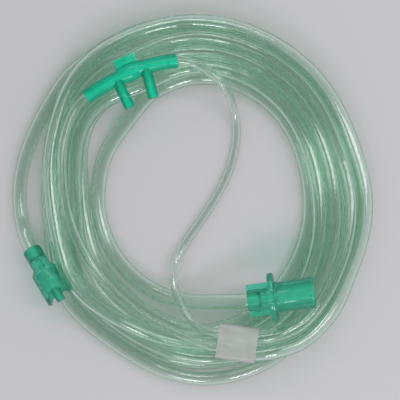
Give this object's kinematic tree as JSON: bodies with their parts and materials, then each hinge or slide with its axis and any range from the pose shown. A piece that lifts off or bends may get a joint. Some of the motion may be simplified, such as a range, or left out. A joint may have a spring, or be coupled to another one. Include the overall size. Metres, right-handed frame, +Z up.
{
  "type": "nasal cannula with two lines",
  "caption": "Coiled nasal cannula: soft two-prong nosepiece, two thin tubes, a clear junction and two lines that end in a flanged port and a locking tip.",
  "frame": {"origin": "on the surface it lies on, under the middle of the whole bundle", "axes": "+Z up through the coil, +Y towards the nosepiece side of the bundle, +X towards the open end of the flanged port"},
  "size_m": [0.1602, 0.1674, 0.0304],
  "materials": {
    "line_tube": "soft clear vinyl with a pale green tint",
    "thin_tube": "soft clear vinyl, almost colourless",
    "nosepiece_vinyl": "soft green see-through vinyl",
    "fitting_green": "green see-through moulded plastic",
    "junction_clear": "clear moulded vinyl, slightly cloudy"
  },
  "bodies": {
    "root": {"coiled_tubing": "line_tube", "oxygen_line_start": "line_tube", "oxygen_line_end": "line_tube", "sampling_line_start": "line_tube", "sampling_line_end": "line_tube", "thin_tube_left": "thin_tube", "thin_tube_right": "thin_tube", "nosepiece": "nosepiece_vinyl", "junction": "junction_clear", "flanged_connector": "fitting_green", "locking_connector": "fitting_green"}
  },
  "joints": []
}
